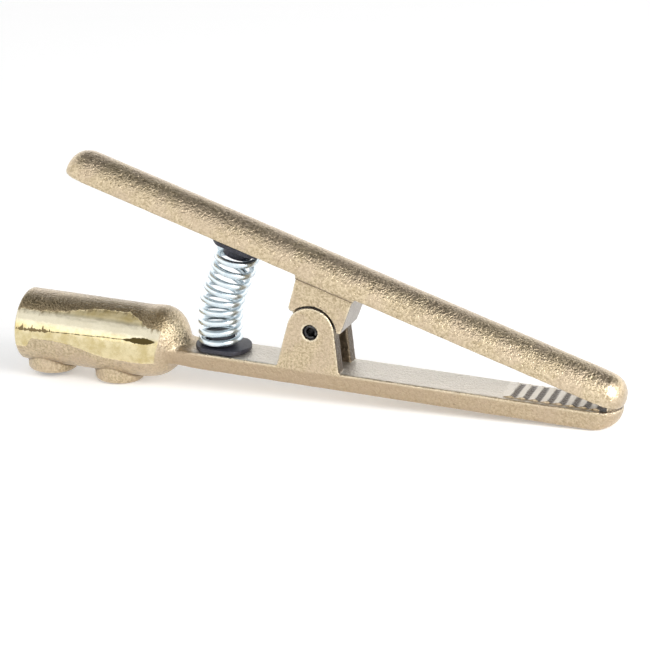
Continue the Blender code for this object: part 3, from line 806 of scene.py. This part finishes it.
def parting_line_and_reflection(g, x, angle):
    """The castings' parting line with a painted reflection of the horizon along it, thick and torn
    near both ends where the grinding missed it.
    """
    wander = g.noise(g.join(x, 3.0, 0.0), 0.16, 2.0, 0.5)
    centre = g.sum((1.0, PARTING_START), (x, PARTING_SLOPE), (wander, 3.0))
    rear = g.product(g.span(x, 13.5, 11.0), g.span(x, 1.0, 2.5))
    front = g.product(g.span(x, 38.5, 45.0), g.span(x, 51.4, 48.2))
    torn = g.noise(g.join(x, g.product(angle, 0.02), 9.0), 0.9, 3.0, 0.7)
    width = g.sum((rear, -2.2), (g.product(rear, torn), 8.0), (front, 2.6),
                  (g.product(front, torn), 3.4), (torn, 2.6), (1.0, -0.7))
    above = g.math("SUBTRACT", angle, centre)
    spikes = g.span(g.noise(g.join(x, 4.0, 0.0), 1.1, 2.0, 0.6), 0.50, 0.72)
    spikes = g.product(g.span(above, -0.4, 0.8), g.span(x, 14.0, 12.0), spikes)
    width = g.math("ADD", width, g.product(spikes, 7.0))
    line = g.span(g.math("SUBTRACT", width, g.size(above)), -0.4, 0.6)
    return g.product(line, g.span(x, *PARTING_END_X))


def ground_color(g, place, x, angle, grazed, line):
    """Bright brass with a painted highlight strip, olive where the grinding only grazed it, and
    dark in the parting line with its painted horizon reflection.
    """
    bright = g.mix(g.span(g.noise(place, 0.30, 3.0, 0.6), 0.35, 0.7), POLISHED, POLISHED_DEEP)
    # painted highlight: a paler strip up the band's side
    pale = g.product(g.span(angle, 15.0, 27.0), g.span(angle, 48.0, 38.0))
    bright = g.mix(g.product(pale, 0.8), bright, BAND_HIGHLIGHT)
    bright = g.mix(g.product(grazed, 0.75), bright, TARNISH_AND_SHADE)
    return g.mix(line, bright, g.mix(g.span(x, 17.0, 11.0), TARNISH_DEEP, TARNISH_AND_SHADE))


def bar_faces(g, color, place):
    """The colour, with a painted grey reflection on the bar's top and painted shade on its sides.
    """
    x, _, z = g.split(place)
    _, across, upward = g.split(g.attribute("facing", "Vector"))
    top = g.product(g.span(upward, 0.80, 0.93), g.span(g.size(z), 1.6, 1.0),
                    g.span(x, 60.0, 64.0))
    # painted reflection: the bar's upward faces turn grey
    color = g.mix(g.product(top, 0.75), color, TOP_REFLECTION_GREY)
    flank = g.product(g.span(g.size(across), 0.45, 0.8), g.span(z, -0.3, -1.1),
                      g.span(x, 50.0, 56.0))
    fading = g.blend(g.span(x, 120.0, 205.0), 0.70, 0.34)
    # painted shade on the bar's sides, weaker towards the tip
    return g.mix(g.product(flank, fading), color, SHADED)


def lower_brass():
    """Sand-cast brass with a band ground bright along both sides of the cable socket, and painted
    shade on the socket's top.
    """
    g = Graph("cast_brass_lower", metallic=1.0)
    place = g.attribute("place", "Vector")
    x, _, _ = g.split(place)
    angle, radius = round_socket(g, place)
    color, roughness, height = cast_skin(g, place)
    strokes = g.noise(g.join(g.product(x, 0.9), g.product(angle, 0.03), 0.0), 1.0, 3.0, 0.65)
    inside, below = ground_band(g, place, x, angle, strokes)
    end = g.sum((1.0, BAND_END_X), (g.span(angle, -20.0, 12.0), 1.6))
    on_socket = g.product(g.span(g.math("SUBTRACT", end, x), -0.25, 0.25),
                          g.span(radius, *BAND_RADIUS))
    polish = g.product(inside, on_socket)
    # the parting line, with a painted reflection of the horizon along it
    line = g.product(parting_line_and_reflection(g, x, angle), on_socket)
    patches = g.noise(g.join(g.product(x, 0.5), g.product(angle, 0.03), 5.0), 1.0, 3.0, 0.6)
    grazed = g.product(g.span(below, 9.0, 1.0), g.span(patches, 0.45, 0.62))
    # painted shade: the socket's upper side above the band turns darker
    top = g.product(g.span(below, 2.0, -1.0), g.span(below, -50.0, -12.0),
                    g.span(radius, 9.5, 11.0), g.span(x, 56.0, 50.0))
    color = g.mix(g.product(top, 0.72), color, TARNISH_AND_SHADE)
    color = in_grooves(g, bar_faces(g, color, place))
    color = g.mix(polish, color, ground_color(g, place, x, angle, grazed, line))
    gloss = g.sum((1.0, 0.14), (strokes, 0.14), (line, 0.3), (grazed, 0.15),
                  (g.span(angle, 36.0, 50.0), 0.34))
    roughness = g.blend(polish, roughness, gloss)
    marks = g.sum((strokes, 0.35), (g.noise(place, 0.22, 1.0, 0.4), 0.7), (line, -0.35))
    height = g.blend(polish, height, g.product(marks, 0.16))
    return g.finish(color, roughness, g.bump(height, SKIN_DEPTH))


def zinc():
    """Bright zinc plating on spring wire."""
    g = Graph("bright_zinc", metallic=1.0)
    place = g.attribute("place", "Vector")
    cloud = g.noise(place, 0.5, 3.0, 0.6)
    color = g.mix(g.span(cloud, 0.35, 0.65), (0.62, 0.71, 0.76), (0.73, 0.80, 0.84))
    roughness = g.sum((cloud, 0.16), (g.noise(place, 3.0), 0.06), (1.0, 0.18))
    return g.finish(color, roughness, g.bump(g.noise(place, 1.6, 2.0, 0.5), 0.02))


def dark_steel():
    """Drawn spring steel of the rolled pin."""
    g = Graph("pin_steel", metallic=1.0)
    place = g.attribute("place", "Vector")
    cloud = g.noise(place, 1.2, 3.0, 0.6)
    color = g.mix(g.span(cloud, 0.35, 0.7), (0.022, 0.022, 0.026), (0.11, 0.108, 0.105))
    return g.finish(color, g.sum((cloud, 0.25), (1.0, 0.18)), g.bump(cloud, 0.03))


def black_oxide():
    """Oiled black oxide on the set screws, lighter in patches."""
    g = Graph("black_oxide", metallic=0.85)
    place = g.attribute("place", "Vector")
    cloud = g.noise(place, 1.4, 3.0, 0.6)
    color = g.mix(g.span(cloud, 0.55, 0.75), (0.035, 0.036, 0.040), (0.16, 0.155, 0.15))
    return g.finish(color, g.sum((cloud, 0.3), (1.0, 0.25)), g.bump(cloud, 0.02))


def fibre():
    """Pressed dark fibre of the insulators."""
    g = Graph("insulator_fibre")
    place = g.attribute("place", "Vector")
    fleck = g.noise(place, 2.2, 3.0, 0.7)
    cloud = g.noise(place, 0.4, 2.0, 0.5)
    color = g.mix(g.span(fleck, 0.45, 0.7), (0.013, 0.013, 0.020), (0.046, 0.045, 0.066))
    roughness = g.sum((cloud, 0.2), (fleck, 0.12), (1.0, 0.28))
    return g.finish(color, roughness, g.bump(fleck, 0.05))


# ---- studio ----------------------------------------------------------------------------

FLOOR_REACH = 4.0
FLOOR_WHITE = (0.93, 0.93, 0.93, 1)
FLOOR_GLOW = 0.20
WALL_BACK = (1.75, 1.75, 1.75, 1)
WALL_FRONT = (1.29, 1.29, 1.29, 1)
CEILING = {"azimuth": 180, "elevation": 77, "outer": 59, "inner": 29,
           "radiance": (0.06, 0.06, 0.06, 1)}
SOFTBOX_DISTANCE = 0.9
CAMERA = {"azimuth": 21.24, "elevation": 18.50, "roll": -2.125, "distance": 0.8057,
          "lens": 138.35, "sensor": 36.0}
CAMERA_AIM = Vector((0.00288, 0.00253, -0.015127))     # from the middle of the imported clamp


def floor():
    """The plain pale floor."""
    r = FLOOR_REACH
    mesh = bpy.data.meshes.new("floor")
    mesh.from_pydata([(-r, -r, 0), (r, -r, 0), (r, r, 0), (-r, r, 0)], [], [(0, 1, 2, 3)])
    g = Graph("pale_floor")
    g.shader.inputs["Specular IOR Level"].default_value = 0.0
    g.shader.inputs["Emission Color"].default_value = (1, 1, 1, 1)
    g.shader.inputs["Emission Strength"].default_value = FLOOR_GLOW
    mesh.materials.append(g.finish(FLOOR_WHITE, 1.0))
    made = bpy.data.objects.new("floor", mesh)
    bpy.context.scene.collection.objects.link(made)


def sky_direction(azimuth, elevation):
    """Azimuth 0 is towards -Y, the camera's side, and 90 towards +X, in degrees."""
    a, e = math.radians(azimuth), math.radians(elevation)
    return Vector((math.sin(a) * math.cos(e), -math.cos(a) * math.cos(e), math.sin(e)))


def surroundings():
    """Bright walls, brightest at the back, and a dark patch overhead, a little to the back."""
    world = bpy.data.worlds.new("studio")
    bpy.context.scene.world = world
    world.use_nodes = True
    tree = world.node_tree
    direction = tree.nodes.new("ShaderNodeTexCoord").outputs["Generated"]
    share = towards(tree, direction, sky_direction(0, 0), -1.0, 1.0)
    walls = blended(tree, share, WALL_BACK, WALL_FRONT)
    centre = sky_direction(CEILING["azimuth"], CEILING["elevation"])
    share = towards(tree, direction, centre, math.cos(math.radians(CEILING["outer"])),
                    math.cos(math.radians(CEILING["inner"])))
    sky = blended(tree, share, walls, CEILING["radiance"])
    tree.links.new(sky, tree.nodes["Background"].inputs["Color"])


def towards(tree, direction, centre, low, high):
    """0 to 1 as the cosine between the direction and the centre goes from low to high."""
    dot = tree.nodes.new("ShaderNodeVectorMath")
    dot.operation = "DOT_PRODUCT"
    tree.links.new(direction, dot.inputs[0])
    dot.inputs[1].default_value = centre
    ramp = tree.nodes.new("ShaderNodeMapRange")
    ramp.interpolation_type = "SMOOTHSTEP"
    ramp.inputs["From Min"].default_value = low
    ramp.inputs["From Max"].default_value = high
    tree.links.new(dot.outputs["Value"], ramp.inputs["Value"])
    return ramp.outputs["Result"]


def blended(tree, share, first, second):
    """A colour from the first to the second."""
    mix = tree.nodes.new("ShaderNodeMix")
    mix.data_type = "RGBA"
    tree.links.new(share, mix.inputs["Factor"])
    for key, value in (("A", first), ("B", second)):
        if isinstance(value, bpy.types.NodeSocket):
            tree.links.new(value, mix.inputs[key])
        else:
            mix.inputs[key].default_value = value
    return mix.outputs["Result"]


def softbox(name, azimuth, elevation, size, radiance):
    """A rectangular lamp that faces the clamp."""
    lamp = bpy.data.lights.new(name, "AREA")
    lamp.shape = "RECTANGLE"
    lamp.size, lamp.size_y = size
    lamp.energy = radiance * math.pi * size[0] * size[1]
    made = bpy.data.objects.new(name, lamp)
    outward = sky_direction(azimuth, elevation)
    made.location = outward * SOFTBOX_DISTANCE
    made.rotation_euler = outward.to_track_quat("Z", "Y").to_euler()
    bpy.context.scene.collection.objects.link(made)


def camera():
    """The camera, by its direction, distance, lens and roll about the view's axis."""
    data = bpy.data.cameras.new("camera")
    data.lens = CAMERA["lens"]
    data.sensor_width = CAMERA["sensor"]
    data.clip_start, data.clip_end = 0.01, 50
    made = bpy.data.objects.new("camera", data)
    back = sky_direction(CAMERA["azimuth"], CAMERA["elevation"])
    low, high = (Vector(corner) for corner in PACKED_BOX)
    place = (low + high) / 2 + CAMERA_AIM + back * CAMERA["distance"]
    roll = Matrix.Rotation(math.radians(CAMERA["roll"]), 3, "Z")
    turn = back.to_track_quat("Z", "Y").to_matrix() @ roll
    made.matrix_world = Matrix.Translation(place) @ turn.to_4x4()
    bpy.context.scene.collection.objects.link(made)
    bpy.context.scene.camera = made


def studio():
    """Floor, light, camera and a plain tone curve."""
    floor()
    surroundings()
    softbox("softbox_left", -35, 16, (0.50, 0.30), 0.5)
    softbox("softbox_right", 69, 30, (0.46, 0.50), 7.0)
    camera()
    bpy.context.scene.view_settings.view_transform = "Standard"


# ---- assembly --------------------------------------------------------------------------

def stored_vectors(mesh, name):
    """A vector attribute of a mesh as an array."""
    flat = np.empty(len(mesh.vertices) * 3, np.float32)
    mesh.attributes[name].data.foreach_get("vector", flat)
    return flat.reshape(-1, 3)


def stored_values(mesh, name):
    """A number attribute of a mesh as an array."""
    flat = np.empty(len(mesh.vertices), np.float32)
    mesh.attributes[name].data.foreach_get("value", flat)
    return flat


def mark_grooves(piece, teeth_x, first_crest, face_z, up, hidden):
    """Marks the gaps between teeth and the closed tip's faces towards the other jaw, which the
    material darkens.

    Beside the teeth it also evens the curvature, so that the rims keep one colour.
    """
    p = stored_vectors(piece.data, "place")
    n = stored_vectors(piece.data, "facing")
    height = (p[:, 2] - face_z) * up
    side = abs(p[:, 1])
    along = p[:, 0] - GAP_SKEW * p[:, 1] - first_crest - GAP_START
    teeth = (p[:, 0] > teeth_x[0]) & (p[:, 0] < teeth_x[1]) & (height > -FACE_DEPTH)
    teeth &= (side < COMB_HALF_WIDTH) & (along > -0.2)
    share = (along / TOOTH_PITCH) % 1
    gaps = teeth * ramp(share, GAP_SHARE, GAP_SHARE - 0.06) * ramp(share, 0, 0.05)
    tip = (p[:, 0] > teeth_x[1]) & (height > -TIP_DEPTH) & (height < TIP_LAND_HEIGHT)
    tip = tip * ramp(n[:, 2] * up, 0.45, 0.65)
    rim = (p[:, 0] > teeth_x[0]) & (side >= COMB_HALF_WIDTH - 0.4) & (abs(n[:, 1]) < 0.8)
    rim &= (height > -RIM_DEPTH) & (height < TIP_LAND_HEIGHT)
    bend = stored_values(piece.data, "bend")
    set_value(piece.data, "bend", np.where(rim, np.clip(bend, 0, 0.5), bend))
    # the hidden marks are painted shade in recesses and on the ears' front faces
    set_value(piece.data, "groove", np.maximum(np.maximum(gaps, tip), hidden(p, n)))


def ear_slot_shade(p, n):
    """Painted shade in the slot between the ears and on the ears' front edges."""
    from_pivot = abs(p[:, 0] - PIVOT_X)
    inside = (abs(p[:, 1]) < EAR_SLOT_HALF_WIDTH) & (p[:, 2] > 0.2)
    inside = inside & (from_pivot < EAR_SLOT_HALF_LENGTH)
    front = ramp(n[:, 0], 0.6, 0.9) * (p[:, 2] > 0.1) * (from_pivot < EAR_FRONT_REACH)
    return np.maximum(0.8 * inside, front * ramp(p[:, 2], 19, 11))


def block_hollow_shade(p, _):
    """Painted shade in the hollow of the pivot block, and on the sides of the lug that turns in the
    slot.
    """
    radius = np.hypot(p[:, 0], p[:, 2])
    side = abs(p[:, 1])
    arch = (radius < HOLLOW_RADIUS + 0.15) & (p[:, 2] > HOLLOW_BOTTOM_Z)
    lug = (side > LUG_SIDE[0]) & (side < LUG_SIDE[1]) & (radius < HOLLOW_RADIUS)
    return (arch | lug).astype(float)


def build():
    """Every piece, then the studio."""
    lower = casting("lower_jaw", LOWER, "lower", lower_brass(), lower_fillets, lower_crisp, 3)
    mark_grooves(lower, TEETH_X, FIRST_CREST_X, 0, 1, ear_slot_shade)
    upper = casting("upper_jaw", UPPER, "upper", upper_brass(), no_fillets, upper_crisp, 5)
    mark_grooves(upper, UPPER_TEETH_X, UPPER_CREST_X, UPPER_FLAT_Z, -1, block_hollow_shade)
    dark = fibre()
    insulator("lower_insulator", "lower", LOWER, (PIVOT_X - SEAT_DISTANCE, GAP), 1,
              LOWER_COLLAR_X, dark)
    insulator("upper_insulator", "upper", UPPER, (-SEAT_DISTANCE, UPPER_FLAT_Z - GAP), -1,
              0.0, dark)
    pivot_pin(dark_steel())
    oxide = black_oxide()
    for side in BOSS_X:
        set_screw(side, oxide)
    spring(zinc())
    studio()


build()
